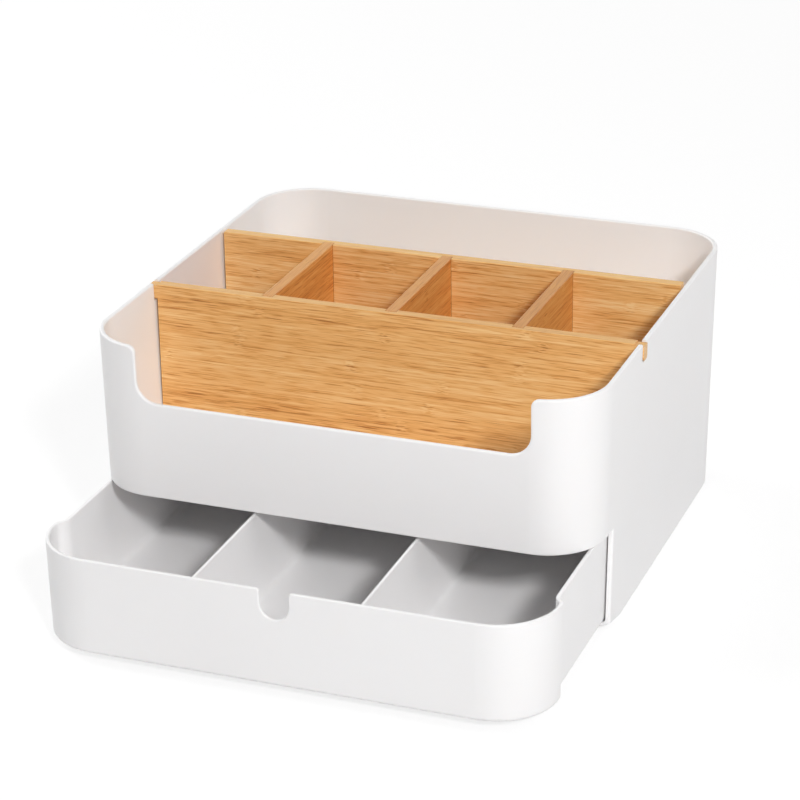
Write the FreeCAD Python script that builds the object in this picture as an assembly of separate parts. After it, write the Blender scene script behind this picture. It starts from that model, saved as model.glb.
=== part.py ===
"""Desk organizer: a white moulded shell with a full-width drawer under it and a bamboo grid in its tray.

Millimetres, +Z up. The parts are drawn with the shell's front face near y = 0 and its back at +Y.
At the end they are moved so that the origin is under the middle of the whole object, on the desk.
"""
import FreeCAD, Part
import math
import os

# ---- shell ----
BASE_WIDTH = 256.5          # outside, at the foot of the walls
BASE_DEPTH = 245.3
CORNER_RADIUS = 29.0        # plan radius of the upright corners, at the foot
WALL_DRAFT = 1.0            # degrees that every moulded wall leans outwards, to leave the mould
SHELL_WALL = 2.5
RIM_HEIGHT = 137.0          # top of the rim above the desk
TRAY_EDGE_HEIGHT = 57.2     # lower edge of the tray's front, and underside of the tray floor
TRAY_FLOOR = 2.5
BASE_FLOOR = 1.8
BASE_RECESS = 2.9           # the base lies this far above the foot of the walls
FRONT_CUT_DEPTH = 29.3      # the middle of the tray's front wall is this much lower than the rim
FRONT_CUT_INSET = 27.85     # from the side of the lowered stretch to the outside of the side wall
FRONT_CUT_RADIUS = 11.0     # inside corners of the lowered stretch
FRONT_CUT_SHOULDER = 4.0    # rounding where it meets the rim
BASE_TOE_LENGTH = 25.0      # the foot of the side walls rises over this length towards their front ends
BASE_TOE_RISE = 5.1         # how far it has risen there, on the outside
BASE_TOE_REACH = 3.6        # how far in from the outside it slants down to the base, there
BASE_EDGE_ROUND = 2.0
RIM_ROUND = 0.9
EDGE_ROUND = 0.8            # under the tray's front
WALL_END_ROUND = 1.3        # outside corner of the lower side walls' front ends
TRAY_INSIDE_ROUND = 1.5     # where the tray's walls meet its floor
CAVITY_INSIDE_ROUND = 2.5

# ---- drawer stop and feet ----
STOP_RIB_DROP = 0.8         # how far the stop rib hangs under the tray floor
STOP_RIB_LENGTH = 3.0
STOP_SPAN = 150.0           # between the middles of the two stop lugs
STOP_LUG_WIDTH = 14.0
STOP_LUG_CLEARANCE = 0.2    # from a lug's top to the tray floor
STOP_GAP = 0.1              # left between lug and rib when the drawer is fully out
DRAWER_TRAVEL = 160.0       # from closed to fully out
FOOT_RADIUS = 6.0
FOOT_HEIGHT = 1.0           # height of the shell above the desk
FOOT_RECESS = 0.6           # depth of the seat in the base that holds a foot
FOOT_CLEARANCE = 0.1        # around a foot in its seat
FOOT_INSET = 26.0           # from the middle of a foot to the outside of the walls

# ---- drawer ----
DRAWER_PULL = 72.5          # how far the drawer stands open at rest
DRAWER_WALL = 2.0
DRAWER_FLOOR = 2.0
DRAWER_SIDE_CLEARANCE = 1.0
DRAWER_BACK_CLEARANCE = 1.0
DRAWER_BASE_GAP = 0.2       # the drawer slides on the base
DRAWER_TOP_GAP = 1.0        # from the drawer's rim to the tray floor
DRAWER_CORNER_RADIUS = 30.5 # the front corners; the step in to the narrower sides begins where they end
STEP_ANGLE = 45.0
STEP_RADIUS = 5.5
STEP_CLEARANCE = 0.3        # from the step to the front ends of the shell's side walls
DRAWER_BASE_ROUND = 2.5
DRAWER_INSIDE_ROUND = 2.0
DRAWER_RIM_ROUND = 0.6
CELL_WALL = 1.6             # the two walls that divide the drawer in three
CELL_WALL_PLACE = 42.3      # from the drawer's middle to the middle of each
CELL_WALL_DROP = 1.5        # how far they stay under the drawer's rim
CELL_WALL_ROUND = 0.5       # along their top edges
FINGER_WIDTH = 15.0         # U-shaped finger cut in the middle of the front
FINGER_DEPTH = 15.0
FINGER_SHOULDER = 1.5

# ---- bamboo grid ----
BAMBOO = 6.0                # thickness of every bamboo board
FRONT_BOARD_FACE = 79.0     # front face of the front board
REAR_BOARD_FACE = 163.0     # front face of the rear board
DIVIDER_PITCH = 66.4        # between the middles of neighbouring dividers
BOARD_TOP_DROP = 0.3        # how far the boards stay under the rim
BOARD_END_CLEARANCE = 0.5   # from a board's end to the wall, at the tray floor
BOARD_FLOOR_GAP = 0.1
BOARD_FOOT_CHAMFER = 2.5    # clears the rounding at the tray's floor
GROOVE_DEPTH = 3.0          # housings in the boards that take the dividers' ends
GLUE_GAP = 0.05
TAB_TOP_DROP = 0.8          # from the front board's top to the top of its end tabs
TAB_HEIGHT = 7.7            # of the tabs, which sit in slots in the side walls
TAB_PROUD = 0.5             # how far a tab's end stands out of the wall
TAB_ROUND = 2.0
TAB_CLEARANCE = 0.2         # between a tab and the sides of its slot
TAB_FOOT_GAP = 0.9          # under a tab, because the board's foot carries the grid
BOARD_EDGE_ROUND = 0.5

# ---- levels and places worked out from the sizes above ----
LEAN = math.tan(math.radians(WALL_DRAFT))
SHELL_BASE = FOOT_HEIGHT
BASE_UNDERSIDE = SHELL_BASE + BASE_RECESS
CAVITY_FLOOR = BASE_UNDERSIDE + BASE_FLOOR
TRAY_LEVEL = TRAY_EDGE_HEIGHT + TRAY_FLOOR
DRAWER_BASE = CAVITY_FLOOR + DRAWER_BASE_GAP
DRAWER_RIM = TRAY_EDGE_HEIGHT - DRAWER_TOP_GAP
DRAWER_LEVEL = DRAWER_BASE + DRAWER_FLOOR
DRAWER_BACK = BASE_DEPTH - SHELL_WALL - DRAWER_BACK_CLEARANCE
STEP_WIDTH = SHELL_WALL + DRAWER_SIDE_CLEARANCE
STEP_REACH = STEP_RADIUS * math.tan(math.radians(STEP_ANGLE / 2))
STEP_BACK = DRAWER_CORNER_RADIUS + 2 * STEP_REACH + STEP_WIDTH / math.tan(math.radians(STEP_ANGLE))
SIDE_WALL_FRONT = STEP_BACK + STEP_CLEARANCE
FRONT_CUT_HEIGHT = RIM_HEIGHT - FRONT_CUT_DEPTH
BOARD_FOOT = TRAY_LEVEL + BOARD_FLOOR_GAP
BOARD_TOP = RIM_HEIGHT - BOARD_TOP_DROP
TAB_TOP = BOARD_TOP - TAB_TOP_DROP
TAB_FOOT = TAB_TOP - TAB_HEIGHT
MARGIN = 20.0               # how far cutting tools reach past what they cut
NEAR = 1e-4                 # lengths this close count as equal


def lean_at(level):
    """How far a drafted wall has leaned outwards at a height above the desk."""
    return LEAN * (level - SHELL_BASE)


def rounded_wire(corners, place):
    """A closed wire through corners given as (u, v, radius). place turns (u, v) into a point in space."""
    points = [FreeCAD.Vector(u, v, 0) for u, v, radius in corners]
    starts = []
    middles = []
    ends = []
    for i, (u, v, radius) in enumerate(corners):
        point = points[i]
        back = (points[i - 1] - point).normalize()
        ahead = (points[(i + 1) % len(points)] - point).normalize()
        half_angle = back.getAngle(ahead) / 2
        reach = radius / math.tan(half_angle)
        bisector = (back + ahead).normalize()
        starts.append(point + back * reach)
        middles.append(point + bisector * (radius / math.sin(half_angle) - radius))
        ends.append(point + ahead * reach)
    edges = []
    for i in range(len(corners)):
        if corners[i][2] > 0:
            arc = Part.Arc(*[place(p.x, p.y) for p in (starts[i], middles[i], ends[i])])
            edges.append(arc.toShape())
        start = ends[i]
        end = starts[(i + 1) % len(corners)]
        if start.distanceToPoint(end) > NEAR:
            edges.append(Part.makeLine(place(start.x, start.y), place(end.x, end.y)))
    return Part.Wire(edges)


def prism(corners, place, direction):
    """The rounded outline, filled and pushed along a direction."""
    return Part.Face(rounded_wire(corners, place)).extrude(direction)


def drafted_solid(outline, low, high, inset):
    """A solid with leaning walls between two levels, drawn in by inset all round."""
    wires = []
    for level in (low, high):
        corners = outline(lean_at(level) - inset)
        wires.append(rounded_wire(corners, lambda u, v: FreeCAD.Vector(u, v, level)))
    return Part.makeLoft(wires, True, True)


def edges_at_level(shape, level):
    """Edges that lie flat at a height."""
    found = []
    for edge in shape.Edges:
        box = edge.BoundBox
        if abs(box.ZMin - level) < NEAR and abs(box.ZMax - level) < NEAR:
            found.append(edge)
    return found


def box_between(low, high):
    """A block from its lowest corner to its highest corner."""
    size = [high[i] - low[i] for i in range(3)]
    return Part.makeBox(size[0], size[1], size[2], FreeCAD.Vector(*low))


def shell_outline(grow):
    """Plan of the shell's walls, grown outwards by an even amount."""
    half = BASE_WIDTH / 2 + grow
    radius = CORNER_RADIUS + grow
    front = -grow
    back = BASE_DEPTH + grow
    return [(-half, front, radius), (half, front, radius), (half, back, radius), (-half, back, radius)]


def drawer_outline(grow):
    """Plan of the drawer: a front as wide as the shell that steps in to sides that run inside it."""
    wide = BASE_WIDTH / 2 + grow
    narrow = wide - STEP_WIDTH
    step_grow = grow * math.tan(math.radians(STEP_ANGLE / 2))
    right = [
        (wide, -grow, DRAWER_CORNER_RADIUS + grow),
        (wide, DRAWER_CORNER_RADIUS + STEP_REACH + step_grow, STEP_RADIUS + grow),
        (narrow, STEP_BACK - STEP_REACH + step_grow, STEP_RADIUS - grow),
        (narrow, DRAWER_BACK + grow, CORNER_RADIUS - STEP_WIDTH + grow),
    ]
    left = [(-x, y, radius) for x, y, radius in reversed(right)]
    return right + left


def front_cut():
    """The lowered stretch of the tray's front wall, as a cutting tool."""
    half = BASE_WIDTH / 2 - FRONT_CUT_INSET
    over = RIM_HEIGHT + MARGIN
    corners = [
        (-half - FRONT_CUT_SHOULDER * 2, over, 0),
        (-half - FRONT_CUT_SHOULDER * 2, RIM_HEIGHT, 0),
        (-half, RIM_HEIGHT, FRONT_CUT_SHOULDER),
        (-half, FRONT_CUT_HEIGHT, FRONT_CUT_RADIUS),
        (half, FRONT_CUT_HEIGHT, FRONT_CUT_RADIUS),
        (half, RIM_HEIGHT, FRONT_CUT_SHOULDER),
        (half + FRONT_CUT_SHOULDER * 2, RIM_HEIGHT, 0),
        (half + FRONT_CUT_SHOULDER * 2, over, 0),
    ]
    front = -MARGIN
    depth = MARGIN + CORNER_RADIUS / 2
    return prism(corners, lambda u, v: FreeCAD.Vector(u, front, v), FreeCAD.Vector(0, depth, 0))


def mouth_outline(grow):
    """Plan of what is cleared under the tray's front, with rounded outside ends left on the side walls."""
    half = BASE_WIDTH / 2 + grow
    far = BASE_WIDTH / 2 + MARGIN
    round_back = SIDE_WALL_FRONT + WALL_END_ROUND
    right = [
        (far, -MARGIN, 0),
        (far, round_back, 0),
        (half, round_back, 0),
        (half, SIDE_WALL_FRONT, WALL_END_ROUND),
    ]
    left = [(-x, y, radius) for x, y, radius in reversed(right)]
    return right + left


def toe_cut():
    """What is cleared under the right side wall, whose foot rises towards its front end."""
    half = BASE_WIDTH / 2
    outside = SHELL_BASE + BASE_TOE_RISE
    slant = (outside - BASE_UNDERSIDE) / BASE_TOE_REACH
    corners = [
        (half - BASE_TOE_REACH, BASE_UNDERSIDE, 0),
        (half - BASE_TOE_REACH, -MARGIN, 0),
        (half + MARGIN, -MARGIN, 0),
        (half + MARGIN, outside + slant * MARGIN, 0),
    ]
    start = FreeCAD.Vector(0, SIDE_WALL_FRONT - BASE_TOE_LENGTH, BASE_TOE_RISE)
    fall = FreeCAD.Vector(0, 2 * BASE_TOE_LENGTH, -2 * BASE_TOE_RISE)
    return prism(corners, lambda u, v: start + FreeCAD.Vector(u, 0, v), fall)


def level_slice(low, high):
    """A block over the whole plan between two levels."""
    side = BASE_WIDTH / 2 + MARGIN
    return box_between((-side, -MARGIN, low), (side, BASE_DEPTH + MARGIN, high))


def tab_bar(half, foot, top, clearance):
    """Both end tabs of the front board in one bar, or with a clearance the slots that they drop into."""
    front = FRONT_BOARD_FACE - clearance
    back = FRONT_BOARD_FACE + BAMBOO + clearance
    radius = TAB_ROUND + clearance
    corners = [(front, top, 0), (front, foot, radius), (back, foot, radius), (back, top, 0)]
    return prism(corners, lambda u, v: FreeCAD.Vector(-half, u, v), FreeCAD.Vector(2 * half, 0, 0))


def stop_rib():
    """The rib under the tray floor that the drawer's lugs meet when it is fully out."""
    lug_front = DRAWER_BACK - DRAWER_WALL
    back = lug_front - DRAWER_TRAVEL - STOP_GAP
    half = STOP_SPAN / 2 + STOP_LUG_WIDTH
    low = (-half, back - STOP_RIB_LENGTH, TRAY_EDGE_HEIGHT - STOP_RIB_DROP)
    high = (half, back, TRAY_EDGE_HEIGHT + TRAY_FLOOR / 2)
    return box_between(low, high)


def foot_places():
    """Middles of the four feet, by the name of the corner."""
    side = BASE_WIDTH / 2 - FOOT_INSET
    front = SIDE_WALL_FRONT + FOOT_INSET
    back = BASE_DEPTH - FOOT_INSET
    return {
        "front_left": (-side, front),
        "front_right": (side, front),
        "rear_left": (-side, back),
        "rear_right": (side, back),
    }


def foot_disc(place, radius):
    """A round pad on the desk that reaches up into the shell's base."""
    return Part.makeCylinder(radius, BASE_UNDERSIDE + FOOT_RECESS, FreeCAD.Vector(place[0], place[1], 0))


def make_lower(block):
    """The walls under the tray, open at the front, with a foot that rises to the recessed base."""
    mouth = drafted_solid(mouth_outline, SHELL_BASE - MARGIN, TRAY_LEVEL, 0)
    recess = drafted_solid(shell_outline, SHELL_BASE - MARGIN, BASE_UNDERSIDE, SHELL_WALL)
    toe = toe_cut()
    other_toe = toe.mirror(FreeCAD.Vector(0, 0, 0), FreeCAD.Vector(1, 0, 0))
    return block.common(level_slice(0, TRAY_LEVEL)).cut([mouth, recess, toe, other_toe])


def make_shell():
    """Tray, drawer housing and base in one moulding."""
    block = drafted_solid(shell_outline, SHELL_BASE, RIM_HEIGHT, 0)
    block = block.makeFillet(BASE_EDGE_ROUND, edges_at_level(block, SHELL_BASE))
    upper = block.common(level_slice(TRAY_EDGE_HEIGHT, RIM_HEIGHT + MARGIN))
    upper = upper.makeFillet(EDGE_ROUND, edges_at_level(upper, TRAY_EDGE_HEIGHT))
    tray = drafted_solid(shell_outline, TRAY_LEVEL, RIM_HEIGHT + MARGIN, SHELL_WALL)
    tray = tray.makeFillet(TRAY_INSIDE_ROUND, edges_at_level(tray, TRAY_LEVEL))
    cavity = drafted_solid(shell_outline, CAVITY_FLOOR, TRAY_EDGE_HEIGHT, SHELL_WALL)
    cavity = cavity.makeFillet(CAVITY_INSIDE_ROUND, edges_at_level(cavity, CAVITY_FLOOR))
    shell = upper.fuse(make_lower(block)).removeSplitter().cut([tray, cavity, front_cut()])
    shell = shell.makeFillet(RIM_ROUND, rim_edges(shell))
    far = BASE_WIDTH / 2 + MARGIN
    slots = [tab_bar(far, TAB_FOOT - TAB_FOOT_GAP, RIM_HEIGHT + MARGIN, TAB_CLEARANCE)]
    seats = [foot_disc(place, FOOT_RADIUS + FOOT_CLEARANCE) for place in foot_places().values()]
    return shell.cut(slots + seats).fuse(stop_rib()).removeSplitter()


def rim_edges(shell):
    """Edges of the rim and of the lowered stretch of the front wall."""
    found = []
    for edge in shell.Edges:
        box = edge.BoundBox
        on_rim = box.ZMin > RIM_HEIGHT - NEAR
        in_front_cut = box.ZMin > FRONT_CUT_HEIGHT - NEAR and box.YMax < CORNER_RADIUS / 2
        across_wall = box.XLength < NEAR and box.ZLength < NEAR and box.YLength < 2 * SHELL_WALL
        if (on_rim or in_front_cut) and not across_wall:
            found.append(edge)
    return found


def stop_lug(middle):
    """A nub on the drawer's back wall that meets the stop rib."""
    low = (middle - STOP_LUG_WIDTH / 2, DRAWER_BACK - DRAWER_WALL, DRAWER_RIM - DRAWER_WALL)
    high = (middle + STOP_LUG_WIDTH / 2, DRAWER_BACK, TRAY_EDGE_HEIGHT - STOP_LUG_CLEARANCE)
    return box_between(low, high)


def cell_wall(middle):
    """The space of a wall from the drawer's front to its back, up to its top."""
    low = (middle - CELL_WALL / 2, 0, DRAWER_BASE)
    high = (middle + CELL_WALL / 2, DRAWER_BACK, DRAWER_RIM - CELL_WALL_DROP)
    wall = box_between(low, high)
    top = [edge for edge in edges_at_level(wall, high[2]) if edge.BoundBox.XLength < NEAR]
    return wall.makeFillet(CELL_WALL_ROUND, top)


def finger_cut():
    """The U-shaped cut that a finger pulls the drawer by."""
    half = FINGER_WIDTH / 2
    over = DRAWER_RIM + MARGIN
    foot = DRAWER_RIM - FINGER_DEPTH
    corners = [
        (-half - FINGER_SHOULDER * 2, over, 0),
        (-half - FINGER_SHOULDER * 2, DRAWER_RIM, 0),
        (-half, DRAWER_RIM, FINGER_SHOULDER),
        (-half, foot, half),
        (half, foot, half),
        (half, DRAWER_RIM, FINGER_SHOULDER),
        (half + FINGER_SHOULDER * 2, DRAWER_RIM, 0),
        (half + FINGER_SHOULDER * 2, over, 0),
    ]
    depth = MARGIN + DRAWER_WALL * 2
    return prism(corners, lambda u, v: FreeCAD.Vector(u, -MARGIN, v), FreeCAD.Vector(0, depth, 0))


def drawer_cells():
    """The hollow of the drawer, parted by the two cell walls, with rounds along its floor."""
    hollow = drafted_solid(drawer_outline, DRAWER_LEVEL, DRAWER_RIM + MARGIN, DRAWER_WALL)
    hollow = hollow.cut([cell_wall(-CELL_WALL_PLACE), cell_wall(CELL_WALL_PLACE)])
    return hollow.makeFillet(DRAWER_INSIDE_ROUND, edges_at_level(hollow, DRAWER_LEVEL))


def drawer_edges(drawer):
    """Edges of the drawer's rim and of the finger cut in its front."""
    found = []
    for edge in drawer.Edges:
        box = edge.BoundBox
        on_rim = box.ZMin > DRAWER_RIM - NEAR
        above_foot_of_cut = box.ZMin > DRAWER_RIM - FINGER_DEPTH - NEAR
        beside_cut = max(-box.XMin, box.XMax) < FINGER_WIDTH
        in_front = box.YMax < 2 * DRAWER_WALL
        on_finger_cut = above_foot_of_cut and beside_cut and in_front
        across_wall = box.XLength < NEAR and box.ZLength < NEAR and box.YLength < 2 * DRAWER_WALL
        if (on_rim or on_finger_cut) and not across_wall:
            found.append(edge)
    return found


def make_drawer():
    """The drawer as it lies when it is closed, with its two dividing walls."""
    drawer = drafted_solid(drawer_outline, DRAWER_BASE, DRAWER_RIM, 0)
    drawer = drawer.makeFillet(DRAWER_BASE_ROUND, edges_at_level(drawer, DRAWER_BASE))
    drawer = drawer.cut([drawer_cells(), finger_cut()])
    drawer = drawer.makeFillet(DRAWER_RIM_ROUND, drawer_edges(drawer))
    return drawer.fuse([stop_lug(-STOP_SPAN / 2), stop_lug(STOP_SPAN / 2)]).removeSplitter()


def groove(middle, face, depth):
    """Housing in a board for a divider's end, cut into the face at y = face."""
    half = BAMBOO / 2 + GLUE_GAP
    near = min(face, face + depth)
    far = max(face, face + depth)
    return box_between((middle - half, near, 0), (middle + half, far, RIM_HEIGHT + MARGIN))


def divider_middles():
    """Middles of the three dividers, by name."""
    return {"left": -DIVIDER_PITCH, "middle": 0.0, "right": DIVIDER_PITCH}


def board(face):
    """A bamboo board across the tray, with its front face at y = face."""
    half = BASE_WIDTH / 2 - SHELL_WALL + lean_at(TRAY_LEVEL) - BOARD_END_CLEARANCE
    chamfer = BOARD_FOOT_CHAMFER
    corners = [
        (-half, BOARD_TOP, 0),
        (-half, BOARD_FOOT + chamfer, 0),
        (-half + chamfer, BOARD_FOOT, 0),
        (half - chamfer, BOARD_FOOT, 0),
        (half, BOARD_FOOT + chamfer, 0),
        (half, BOARD_TOP, 0),
    ]
    return prism(corners, lambda u, v: FreeCAD.Vector(u, face, v), FreeCAD.Vector(0, BAMBOO, 0))


def eased(shape, along):
    """The board with its long top edges rounded. along is 0 for edges along X, 1 for edges along Y."""
    found = []
    for edge in edges_at_level(shape, BOARD_TOP):
        across = edge.BoundBox.XLength if along else edge.BoundBox.YLength
        if across < NEAR:
            found.append(edge)
    return shape.makeFillet(BOARD_EDGE_ROUND, found)


def make_front_board():
    """Front board of the grid, with the two tabs that hang in the shell's side walls."""
    half = BASE_WIDTH / 2 + lean_at(TAB_TOP) + TAB_PROUD
    whole = board(FRONT_BOARD_FACE).fuse(tab_bar(half, TAB_FOOT, TAB_TOP, 0)).removeSplitter()
    back = FRONT_BOARD_FACE + BAMBOO
    grooves = [groove(middle, back, -GROOVE_DEPTH) for middle in divider_middles().values()]
    return eased(whole.cut(grooves), 0)


def make_rear_board():
    """Rear board of the grid."""
    grooves = [groove(middle, REAR_BOARD_FACE, GROOVE_DEPTH) for middle in divider_middles().values()]
    return eased(board(REAR_BOARD_FACE).cut(grooves), 0)


def make_divider(middle):
    """A bamboo divider with its ends housed in the two boards."""
    front = FRONT_BOARD_FACE + BAMBOO - GROOVE_DEPTH + GLUE_GAP
    back = REAR_BOARD_FACE + GROOVE_DEPTH - GLUE_GAP
    low = (middle - BAMBOO / 2, front, BOARD_FOOT)
    high = (middle + BAMBOO / 2, back, BOARD_TOP)
    return eased(box_between(low, high), 1)


def all_parts():
    """Every part where it lies at rest, still in the drawing's own frame."""
    parts = {"shell": make_shell()}
    for name, place in foot_places().items():
        parts["foot_" + name] = foot_disc(place, FOOT_RADIUS)
    drawer = make_drawer()
    drawer.translate(FreeCAD.Vector(0, -DRAWER_PULL, 0))
    parts["drawer"] = drawer
    parts["bamboo_front_board"] = make_front_board()
    parts["bamboo_rear_board"] = make_rear_board()
    for name, middle in divider_middles().items():
        parts["bamboo_divider_" + name] = make_divider(middle)
    return parts


def main():
    """Move the parts so that the origin is under the middle of them all, and write one file for each."""
    parts = all_parts()
    box = Part.makeCompound(list(parts.values())).optimalBoundingBox(False, False)
    to_origin = FreeCAD.Vector(0, -box.Center.y, 0)
    os.makedirs("parts", exist_ok=True)
    for name, shape in parts.items():
        shape.translate(to_origin)
        if len(shape.Solids) != 1 or not shape.isValid():
            raise ValueError(f"{name}: {len(shape.Solids)} solids, valid {shape.isValid()}")
        shape.Solids[0].exportStep(f"parts/{name}.step")
        print(f"{name:24s} volume {shape.Volume / 1000:8.1f} cm3")
    print("width, depth, height", [round(size, 2) for size in (box.XLength, box.YLength, box.ZLength)])
    print("moved by", round(to_origin.y, 3))


main()
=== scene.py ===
# %% [markdown]
# # A white desk organizer with a drawer and a bamboo grid
#
# The organizer is built elsewhere as solid parts at their real size. This lesson gives those
# parts their looks: satin moulded plastic, oiled bamboo and soft rubber feet, on a plain floor in
# studio light.
#
# The parts come in as a fixed frame, in metres, with +Z up. None of them is moved or changed
# here, so everything below is worked out from where they already are.

# %% Load the frame
import math

import bpy
from mathutils import Euler, Matrix, Vector


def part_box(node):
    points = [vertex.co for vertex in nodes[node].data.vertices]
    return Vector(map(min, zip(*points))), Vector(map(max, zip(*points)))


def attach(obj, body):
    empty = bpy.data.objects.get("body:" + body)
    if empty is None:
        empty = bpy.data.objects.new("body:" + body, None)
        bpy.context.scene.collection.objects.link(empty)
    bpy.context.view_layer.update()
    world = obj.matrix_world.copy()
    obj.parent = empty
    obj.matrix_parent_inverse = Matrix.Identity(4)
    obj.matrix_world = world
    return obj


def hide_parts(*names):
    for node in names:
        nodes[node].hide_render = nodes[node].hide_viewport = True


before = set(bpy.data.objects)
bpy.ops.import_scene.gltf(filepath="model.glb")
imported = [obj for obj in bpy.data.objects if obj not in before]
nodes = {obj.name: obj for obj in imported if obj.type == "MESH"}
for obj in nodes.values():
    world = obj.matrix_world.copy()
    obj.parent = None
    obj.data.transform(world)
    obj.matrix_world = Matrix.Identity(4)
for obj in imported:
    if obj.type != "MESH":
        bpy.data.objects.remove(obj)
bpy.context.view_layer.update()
print("parts:", ", ".join(sorted(nodes)))

# %% [markdown]
# ## Shader maths that reads like maths
#
# A pattern in a material is a small sum: stretch the coordinates, take some noise, add a share of
# it to a colour. Drawn by hand, each plus and times is a Math node. It could all be written as
# node calls, but a class that stands for one socket and knows what plus and times mean keeps each
# pattern on one line.

# %% A socket that knows arithmetic
class Socket:
    """An output of a node. Sums and products of sockets add Math nodes to the same material."""

    def __init__(self, tree, output=None):
        self.tree = tree
        self.output = output

    def node(self, kind, settings=None, inputs=None, output=0):
        """Add a node. Its settings are set first, then its sockets get their values or links."""
        new = self.tree.nodes.new(kind)
        settings = dict(settings or {})
        stops = settings.pop("stops", None)
        for name, value in settings.items():
            setattr(new, name, value)
        if stops:
            ramp = new.color_ramp.elements
            for _ in stops[2:]:
                ramp.new(0.5)
            for element, (place, color) in zip(ramp, stops):
                element.position = place
                element.color = (*color, 1.0)
        for name, value in (inputs or {}).items():
            if isinstance(value, Socket):
                self.tree.links.new(value.output, new.inputs[name])
            else:
                new.inputs[name].default_value = value
        return Socket(self.tree, new.outputs[output])

    def math(self, operation, *others):
        """One Math node whose first value is this socket."""
        values = dict(enumerate((self, *others)))
        return self.node("ShaderNodeMath", {"operation": operation}, values)

    def __add__(self, other):
        return self.math("ADD", other)

    def __sub__(self, other):
        return self.math("SUBTRACT", other)

    def __mul__(self, other):
        return self.math("MULTIPLY", other)

    def __rsub__(self, other):
        return self * -1.0 + other

    __radd__ = __add__
    __rmul__ = __mul__


def new_material(name):
    """An empty material, the socket that starts its nodes, and its surface output."""
    material = bpy.data.materials.new(name)
    material.use_nodes = True
    tree = material.node_tree
    tree.nodes.clear()
    surface = tree.nodes.new("ShaderNodeOutputMaterial").inputs["Surface"]
    return material, Socket(tree), surface


def wear(node, material):
    """Give a part one material all over."""
    slots = nodes[node].data.materials
    slots.clear()
    slots.append(material)


print("socket helpers ready")

# %% [markdown]
# ## Satin white plastic
#
# The shell and the drawer are injection moulded. Such plastic is never one flat white: the
# mould's spark eroded skin leaves a fine even texture, the walls are a little uneven where they
# cooled, and the gloss wanders slightly. Sharp inner corners also have a small radius from the
# cutter that made the mould.
#
# An image could carry all this, but noise on Object coordinates has no seams and no repeats, and
# it stays with the drawer when it slides. A Bevel node softens the corners without a single extra
# face.

# %% White plastic
PLASTIC_TONES = [(0.30, (0.910, 0.897, 0.897)), (0.70, (0.930, 0.919, 0.919))]
PLASTIC_ROUGHNESS = 0.44
# How many times each noise repeats in a metre.
CLOUDS = 7.0
PATCHES = 90.0
SKIN = 2200.0
WAVE_HEIGHT = 0.0004
SKIN_HEIGHT = 0.00002
CORNER_SOFTNESS = 0.0006


def white_plastic():
    """Moulded plastic with a fine skin texture, a faint waviness and softened corners."""
    material, start, surface = new_material("white_plastic")
    place = start.node("ShaderNodeTexCoord", output="Object")

    def noise(scale, detail):
        values = {"Vector": place, "Scale": scale, "Detail": detail}
        return start.node("ShaderNodeTexNoise", None, values)

    def bump(strength, distance, height, below):
        values = {"Strength": strength, "Distance": distance, "Height": height, "Normal": below}
        return start.node("ShaderNodeBump", None, values)

    cloud = noise(CLOUDS, 3.0)
    patch = noise(PATCHES, 2.0)
    skin = noise(SKIN, 2.0)
    color = start.node("ShaderNodeValToRGB", {"stops": PLASTIC_TONES}, {"Fac": cloud})
    soft = start.node("ShaderNodeBevel", {"samples": 6}, {"Radius": CORNER_SOFTNESS})
    waves = bump(0.25, WAVE_HEIGHT, cloud, soft)
    normal = bump(0.35, SKIN_HEIGHT, skin, waves)
    shader = start.node(
        "ShaderNodeBsdfPrincipled",
        None,
        {
            "Base Color": color,
            "Roughness": PLASTIC_ROUGHNESS + 0.10 * (patch - 0.5) + 0.06 * (cloud - 0.5),
            "IOR": 1.49,
            "Subsurface Weight": 0.10,
            "Subsurface Radius": (1.0, 0.85, 0.75),
            "Subsurface Scale": 0.003,
            "Normal": normal,
        },
    )
    start.tree.links.new(shader.output, surface)
    return material


plastic = white_plastic()
wear("shell", plastic)
wear("drawer", plastic)
print("white plastic on shell and drawer")

# %% [markdown]
# ## Bamboo
#
# The boards are pressed from bamboo strips a few millimetres high, glued edge to edge. Every
# strip has its own tone. Fine fibres run along it, darker than the pith between them, and each
# strip is crossed here and there by a node, the joint of the living stalk, where the fibres break
# up into a cluster of short marks. A board's narrow edges are cut across the strips and look
# paler and greyer than its faces.
#
# Wood can be painted on an image, but then the ends and edges need one too. A solid pattern is
# simpler: noise stretched along the grain makes streaks on the long faces and dots on the ends,
# as the real fibres do.
#
# The tones come first: four of them, from the dark of a node to the pale pith. A ramp keeps them
# together, and a board of another tone, or one darkened with painted shade as the dividers are,
# only multiplies the whole ramp by a share.

# %% Tones of bamboo
BAMBOO_TONES = [
    (0.10, (0.400, 0.140, 0.025)),
    (0.38, (0.700, 0.325, 0.085)),
    (0.60, (0.830, 0.445, 0.148)),
    (0.92, (0.920, 0.600, 0.270)),
]
EDGE_TONE = (0.72, 0.50, 0.28)
GLUE_TONE = (0.10, 0.045, 0.015, 1.0)
# Painted shade: a multiplier that darkens and browns every face of a board that looks up.
TOP_PAINTED_SHADE = (0.95, 0.90, 0.70, 1.0)


def deepened(tones, share):
    """The tones with each of their three colours multiplied by its own share."""
    return [(place, tuple(c * s for c, s in zip(color, share))) for place, color in tones]


print("palest tone", BAMBOO_TONES[-1][1])

# %% [markdown]
# ### The pattern of one board
#
# A strip is a whole number: the height in the board divided by a strip's height, rounded down.
# That number picks a random tone and slides the fibres along, so that neighbouring strips don't
# match. Near the border of two strips the tone sinks a little, as at a glue line. A node is a
# place along the strip that comes back at a fixed spacing, bent by the slow noise so that it is
# never a ruled line.
#
# Drawing marks one by one would look hand-made. Here noise of two widths gives streaks and thin
# lines, and a third, shorter one gives the marks at the nodes.

# %% Strips, fibres and nodes
STRIP_HEIGHT = 0.0058
NODE_SPACING = 0.150
NODE_REACH = 0.0052         # how far its marks spread to each side
NODE_WANDER = 0.006         # how far it strays from its place
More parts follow.
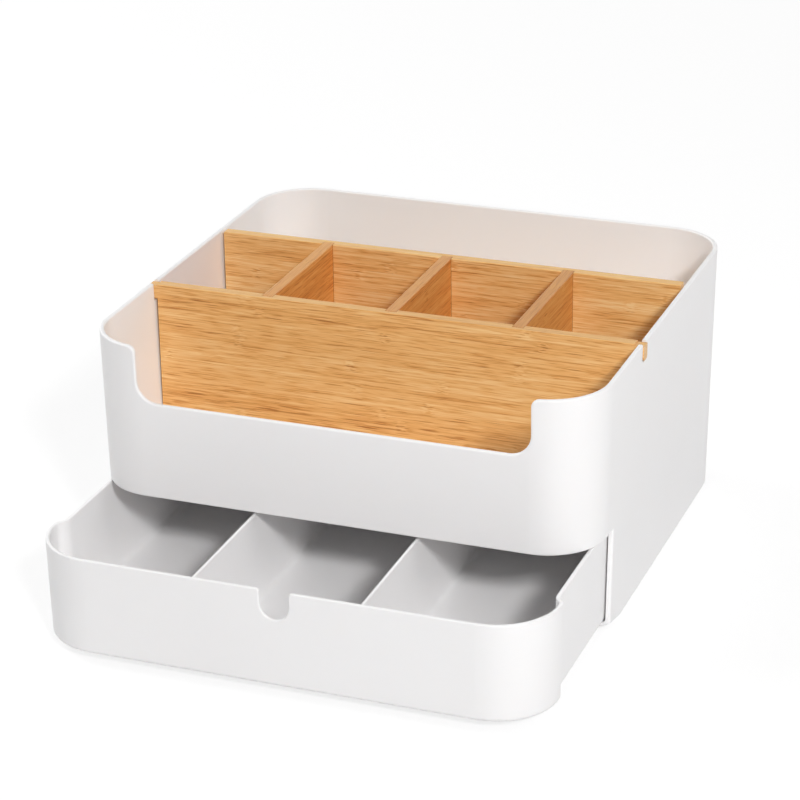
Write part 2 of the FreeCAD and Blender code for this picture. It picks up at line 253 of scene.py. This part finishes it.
# Waves per metre along the grain and across it.
BANDS = (6.0, 150.0)
STREAKS = (32.0, 1050.0)
THREADS = (80.0, 2300.0)
DASHES = (210.0, 1500.0)
# Where a seam, a dash and a line begin and are full. A seam is measured from a strip's middle.
SEAM_STEP = (0.44, 0.49)
DASH_STEP = (0.48, 0.60)
LINE_STEP = (0.50, 0.66)
# How far each of them moves the tone, which runs from 0 at the darkest to 1 at the palest.
MIDDLE = 0.68
BY_STRIP = 0.15
BY_BAND = 0.40
BY_STREAK = 1.15
BY_LINE = 0.28
BY_SEAM = 0.20
BY_DASH = 0.32
BY_NODE = 0.12


def step_between(value, low, high):
    """A smooth step from 0 at low to 1 at high. low may be the larger of the two."""
    return value.node(
        "ShaderNodeMapRange",
        {"interpolation_type": "SMOOTHSTEP"},
        {"Value": value, "From Min": low, "From Max": high},
    )


def fibres(start, along, across, up, frequencies, detail):
    """Noise with one frequency along the grain and another across it, both in waves per metre."""
    length, width = frequencies
    sides = {"X": along * length, "Y": across * width, "Z": up * width}
    stretched = start.node("ShaderNodeCombineXYZ", None, sides)
    values = {"Vector": stretched, "Scale": 1.0, "Detail": detail, "Roughness": 0.6}
    return start.node("ShaderNodeTexNoise", None, values)


def bamboo_pattern(start, along, across, up, seed):
    """Tone, node mask and relief of a board. Each seed gives another piece of bamboo."""
    # The odd numbers beside seed and chance only keep the boards and the strips apart.
    climb = (up + seed * 0.0017) * (1 / STRIP_HEIGHT)
    strip = climb.math("FLOOR")
    seam = step_between((climb - strip - 0.5).math("ABSOLUTE"), *SEAM_STEP)
    toss = {"W": strip + seed * 7.31}
    chance = start.node("ShaderNodeTexWhiteNoise", {"noise_dimensions": "1D"}, toss)
    shifted = along + chance * 3.0
    bands = fibres(start, shifted, across, up, BANDS, 2.0)
    streaks = fibres(start, shifted, across, up, STREAKS, 3.0)
    threads = fibres(start, shifted, across, up, THREADS, 1.0)
    knots = fibres(start, shifted, across, up, DASHES, 1.0)

    turn = (along + NODE_WANDER * bands) * (1 / NODE_SPACING) + chance * 5.0 + seed * 0.37
    away = ((turn.math("FRACT") - 0.5) * NODE_SPACING).math("ABSOLUTE")
    at_node = step_between(away, NODE_REACH, NODE_REACH * 0.2)
    dashes = step_between(knots, *DASH_STEP)
    lines = step_between(threads, *LINE_STEP)
    tone = (
        MIDDLE
        + BY_STRIP * (chance - 0.5)
        + BY_BAND * (bands - 0.5)
        + BY_STREAK * (streaks - 0.5)
        - BY_LINE * lines
        - BY_SEAM * seam * bands
        - at_node * (BY_DASH * dashes - BY_NODE)
    )
    relief = streaks - 0.4 * lines + 0.5 * at_node
    return tone, at_node, relief


print("strips", STRIP_HEIGHT * 1000, "mm high, nodes", NODE_SPACING * 1000, "mm apart")

# %% [markdown]
# ### From pattern to board
#
# All faces of a board share the pattern, but not the tone. The cut edges are paler and greyer,
# the tops get a painted shade that darkens them and makes them browner, and a divider shows a dark
# hairline of glue where it enters the boards. The direction of the face picks the edges and the
# tops, and the distance to the two boards picks the hairline. A thin lacquer makes a weak coat over
# wood that is rougher where the fibres break up.

# %% Bamboo board
JOINT_LINE = 0.0006
RELIEF_HEIGHT = 0.00010
EDGE_SHARE = 0.38
GLUE_SHARE = 0.8
# A face counts as facing a way fully where its normal's share of that way is over FLAT, and not at
# all where it is under STEEP.
STEEP, FLAT = 0.4, 0.8


def bamboo(name, grain, share, seed):
    """Bamboo for one board, with its grain along X or Y and its tones multiplied by a share."""
    material, start, surface = new_material(name)
    place = start.node("ShaderNodeTexCoord", output="Object")
    facing = start.node("ShaderNodeNewGeometry", output="Normal")

    def part_of(vector, axis):
        return start.node("ShaderNodeSeparateXYZ", None, {"Vector": vector}, output=axis)

    def blend(factor, below, above, way="MIX"):
        settings = {"data_type": "RGBA", "blend_type": way}
        return start.node("ShaderNodeMix", settings, {0: factor, 6: below, 7: above}, output=2)

    x, y, up = [part_of(place, axis) for axis in "XYZ"]
    along, across, broad_axis = (x, y, "Y") if grain == "X" else (y, x, "X")
    tone, at_node, relief = bamboo_pattern(start, along, across, up, seed)
    stops = deepened(BAMBOO_TONES, share)
    face = start.node("ShaderNodeValToRGB", {"stops": stops}, {"Fac": tone})

    broad = part_of(facing, broad_axis).math("ABSOLUTE")
    pale = step_between(broad, FLAT, STEEP) * EDGE_SHARE
    edge_tone = (*[value * math.sqrt(part) for value, part in zip(EDGE_TONE, share)], 1.0)
    color = blend(pale, face, edge_tone)
    upward = step_between(part_of(facing, "Z"), STEEP, FLAT)
    # Painted shade on the tops: faces that look up are darkened and made browner.
    color = blend(upward, color, TOP_PAINTED_SHADE, "MULTIPLY")
    if grain == "Y":
        first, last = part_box("bamboo_front_board")[1].y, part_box("bamboo_rear_board")[0].y
        inside = (last - first) / 2 - (along - (first + last) / 2).math("ABSOLUTE")
        glue = step_between(inside, JOINT_LINE, 0.0) * step_between(broad, STEEP, FLAT) * GLUE_SHARE
        color = blend(glue, color, GLUE_TONE)

    values = {"Strength": 0.35, "Distance": RELIEF_HEIGHT, "Height": relief}
    normal = start.node("ShaderNodeBump", None, values)
    shader = start.node(
        "ShaderNodeBsdfPrincipled",
        None,
        {
            "Base Color": color,
            "Roughness": 0.50 - 0.12 * (tone - 0.5) + 0.05 * at_node,
            "Coat Weight": 0.12,
            "Coat Roughness": 0.30,
            "Normal": normal,
        },
    )
    start.tree.links.new(shader.output, surface)
    return material


# Grain, and share of each tone. The dividers' darker shares are painted shade, each of its own
# depth.
BOARDS = {
    "bamboo_front_board": ("X", (1.0, 1.0, 1.0)),
    "bamboo_rear_board": ("X", (1.05, 1.12, 1.22)),
    "bamboo_divider_left": ("Y", (0.88, 0.69, 0.45)),
    "bamboo_divider_middle": ("Y", (0.82, 0.63, 0.40)),
    "bamboo_divider_right": ("Y", (0.76, 0.58, 0.36)),
}
for seed, (board, (grain, share)) in enumerate(BOARDS.items(), start=1):
    wear(board, bamboo(board, grain, share, seed))
    print(board, "grain along", grain)

# %% [markdown]
# ## Rubber feet
#
# Four soft pads keep the plastic off the desk. A moulded pad has a rounded rim and a shallow dish
# underneath that helps it grip. One could be turned from a profile. Here it starts as a round
# primitive at the first seat, gets its rim bevelled, and has its underside inset and pushed in,
# which is as quick and keeps the flat top that meets the plastic.

# %% Rubber
RUBBER_TONES = [(0.35, (0.33, 0.33, 0.33)), (0.65, (0.40, 0.40, 0.395))]
POWDER = 900.0
POWDER_HEIGHT = 0.00005


def soft_rubber():
    """Matt grey rubber with a fine powdery grain."""
    material, start, surface = new_material("foot_rubber")
    place = start.node("ShaderNodeTexCoord", output="Object")
    grain = {"Vector": place, "Scale": POWDER, "Detail": 4.0}
    powder = start.node("ShaderNodeTexNoise", None, grain)
    color = start.node("ShaderNodeValToRGB", {"stops": RUBBER_TONES}, {"Fac": powder})
    bumps = {"Strength": 0.4, "Distance": POWDER_HEIGHT, "Height": powder}
    normal = start.node("ShaderNodeBump", None, bumps)
    roughness = 0.72 + 0.12 * (powder - 0.5)
    values = {"Base Color": color, "Roughness": roughness, "Normal": normal}
    shader = start.node("ShaderNodeBsdfPrincipled", None, values)
    start.tree.links.new(shader.output, surface)
    return material


rubber = soft_rubber()
print("rubber ready")

# %% One foot, modelled
FOOT_SIDES = 64
RIM_BEVEL = 0.00035
DISH_RIM = 0.0016
DISH_DEPTH = 0.00025
SMOOTH_BELOW = math.radians(35)
feet = sorted(name for name in nodes if name.startswith("foot_"))
foot_low, foot_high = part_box(feet[0])
foot_radius = (foot_high.x - foot_low.x) / 2

bpy.ops.object.select_all(action="DESELECT")
bpy.ops.mesh.primitive_cylinder_add(
    vertices=FOOT_SIDES,
    radius=foot_radius,
    depth=foot_high.z - foot_low.z,
    location=(foot_low + foot_high) / 2,
)
foot = bpy.context.object
bpy.ops.object.transform_apply(location=True, rotation=True, scale=True)


def select_underside(thing, smallest):
    """Select the faces of the underside that are larger than an area, and go into edit mode."""
    for polygon in thing.data.polygons:
        polygon.select = polygon.normal.z < -0.99 and polygon.area > smallest
    bpy.ops.object.mode_set(mode="EDIT")
    bpy.ops.mesh.select_mode(type="FACE")


select_underside(foot, 0.0)
bpy.ops.mesh.bevel(offset=RIM_BEVEL, segments=3, affect="EDGES")
bpy.ops.object.mode_set(mode="OBJECT")
select_underside(foot, foot_radius ** 2)
bpy.ops.mesh.inset(thickness=DISH_RIM)
bpy.ops.mesh.inset(thickness=DISH_DEPTH, depth=-DISH_DEPTH)
bpy.ops.object.mode_set(mode="OBJECT")
bpy.ops.object.shade_smooth_by_angle(angle=SMOOTH_BELOW)
foot.data.materials.append(rubber)
print("foot", round(foot_radius * 2000, 1), "mm across,", len(foot.data.polygons), "faces")

# %% [markdown]
# ### The other three feet
#
# All four pads come from one mould, so the other three are plain copies, each moved from the first
# seat to its own. Every pad stands in for the part in its seat and rides with the shell.

# %% Four feet, each in its seat
pads = [foot]
for name in feet[1:]:
    bpy.ops.object.select_all(action="DESELECT")
    foot.select_set(True)
    bpy.context.view_layer.objects.active = foot
    bpy.ops.object.duplicate(linked=False)
    bpy.ops.transform.translate(value=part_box(name)[0] - foot_low)
    bpy.ops.object.transform_apply(location=True, rotation=False, scale=False)
    pads.append(bpy.context.object)

for pad, name in zip(pads, feet):
    pad.name = "pad_" + name
    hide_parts(name)
    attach(pad, "shell")
    print(pad.name, "in the place of", name)

# %% [markdown]
# ## Floor, light and camera
#
# The floor is a plain pale sheet. The camera and the reflections see it lit up a little, so that
# it fades into the white background and keeps only the soft shadow of the object. Far out it
# turns wholly white, so that no horizon shows in a low view. The light that it sends back to the
# object is that of plain paper.

# %% Floor
FLOOR_SIZE = 6.0
PAPER = 0.80                # how much light the paper sends back to the object
SHOWN_PAPER = 0.30          # how much of it is seen, shadows and all
GLOW = 0.76                 # and how much is added, up to white
FADE_FROM, FADE_TO = 0.6, 2.0


def seen_directly(start):
    """1 for what the camera sees, itself, mirrored or through glass, and 0 for light on its way."""
    rays = [
        start.node("ShaderNodeLightPath", output=name)
        for name in ("Is Camera Ray", "Is Glossy Ray", "Is Transmission Ray")
    ]
    return sum(rays[1:], rays[0]).math("MINIMUM", 1.0)


bpy.ops.object.select_all(action="DESELECT")
bpy.ops.mesh.primitive_plane_add(size=FLOOR_SIZE, location=(0, 0, 0))
floor = bpy.context.object
floor.name = "floor"
floor_material, start, surface = new_material("floor_paper")
paper, shown_paper = [
    start.node("ShaderNodeBsdfDiffuse", None, {"Color": (grey, grey, grey, 1)})
    for grey in (PAPER, SHOWN_PAPER)
]
glow, white = [
    start.node("ShaderNodeEmission", None, {"Color": (1, 1, 1, 1), "Strength": strength})
    for strength in (GLOW, 1.0)
]
near = start.node("ShaderNodeAddShader", None, {0: shown_paper, 1: glow})
place = start.node("ShaderNodeTexCoord", output="Object")
reach = start.node("ShaderNodeVectorMath", {"operation": "LENGTH"}, {0: place}, output="Value")
far = step_between(reach, FADE_FROM, FADE_TO)
shown = start.node("ShaderNodeMixShader", None, {0: far, 1: near, 2: white})
whole = start.node("ShaderNodeMixShader", None, {0: seen_directly(start), 1: paper, 2: shown})
start.tree.links.new(whole.output, surface)
floor.data.materials.append(floor_material)
print("floor", FLOOR_SIZE, "m")

# %% [markdown]
# ### Surround
#
# A studio's walls send back a little light from everywhere. What the camera and the reflections
# see is pure white, and what lights the object is far weaker, so that the shadows inside the
# drawer stay deep.

# %% Surround
SURROUND = 0.12
world = bpy.data.worlds.new("studio")
bpy.context.scene.world = world
world.use_nodes = True
world.node_tree.nodes.clear()
start = Socket(world.node_tree)
strength = SURROUND + (1 - SURROUND) * seen_directly(start)
sky = start.node("ShaderNodeBackground", None, {"Color": (1, 1, 1, 1), "Strength": strength})
world_output = world.node_tree.nodes.new("ShaderNodeOutputWorld")
world.node_tree.links.new(sky.output, world_output.inputs["Surface"])
print("surround", SURROUND)

# %% [markdown]
# ### Lamps
#
# One small strong lamp in front and to the right draws the tray's shadow into the drawer, and a
# weak one nearer by softens it. Two wide lamps hang high on both sides and light the tops and the
# insides. Two more stand low behind, each well off to its side, because a lamp straight behind
# would mirror in the tops of the boards. Fewer lamps would be simpler, but then the drawer or the
# back loses its shape.

# %% Lamps
AIM = Vector((0, 0, 0.06))


def softbox(name, place, size, power):
    """A square lamp that faces the object."""
    lamp = bpy.data.lights.new(name, "AREA")
    lamp.shape = "SQUARE"
    lamp.size = size
    lamp.energy = power
    holder = bpy.data.objects.new(name, lamp)
    bpy.context.scene.collection.objects.link(holder)
    holder.location = place
    holder.rotation_euler = (AIM - Vector(place)).to_track_quat("-Z", "Y").to_euler()
    print(name, size, "m", power, "W")


softbox("key_front_right", (1.33, -1.81, 1.51), 0.3, 40.0)
softbox("near_front_right", (0.72, -1.1, 0.8), 0.5, 1.2)
softbox("high_right", (1.6, 0.0, 1.6), 1.4, 7.0)
softbox("high_left", (-1.6, 0.0, 1.6), 1.4, 21.5)
softbox("back_right", (1.0, 2.1, 0.8), 1.4, 6.0)
softbox("back_left", (-2.0, 1.4, 0.8), 1.4, 13.0)

# %% [markdown]
# ### Camera
#
# The camera looks down on the object from the front right, through a long lens from over a metre
# away. A short lens close by would take it all in too, but would splay the upright edges.

# %% Camera
CAMERA_PLACE = (0.45685, -1.19081, 0.63139)
CAMERA_YAW = 0.36458
CAMERA_PITCH = 0.40353
CAMERA_ROLL = -0.01392
CAMERA_LENS = 123.717

camera_data = bpy.data.cameras.new("camera")
camera_data.lens = CAMERA_LENS
camera_data.sensor_width = 36.0
camera = bpy.data.objects.new("camera", camera_data)
bpy.context.scene.collection.objects.link(camera)
turned = Euler((math.pi / 2 - CAMERA_PITCH, 0, CAMERA_YAW)).to_matrix()
look = turned @ Matrix.Rotation(CAMERA_ROLL, 3, "Z")
camera.location = CAMERA_PLACE
camera.rotation_euler = look.to_euler()
bpy.context.scene.camera = camera
bpy.context.scene.view_settings.view_transform = "Standard"
print("camera at", CAMERA_PLACE, "lens", CAMERA_LENS)
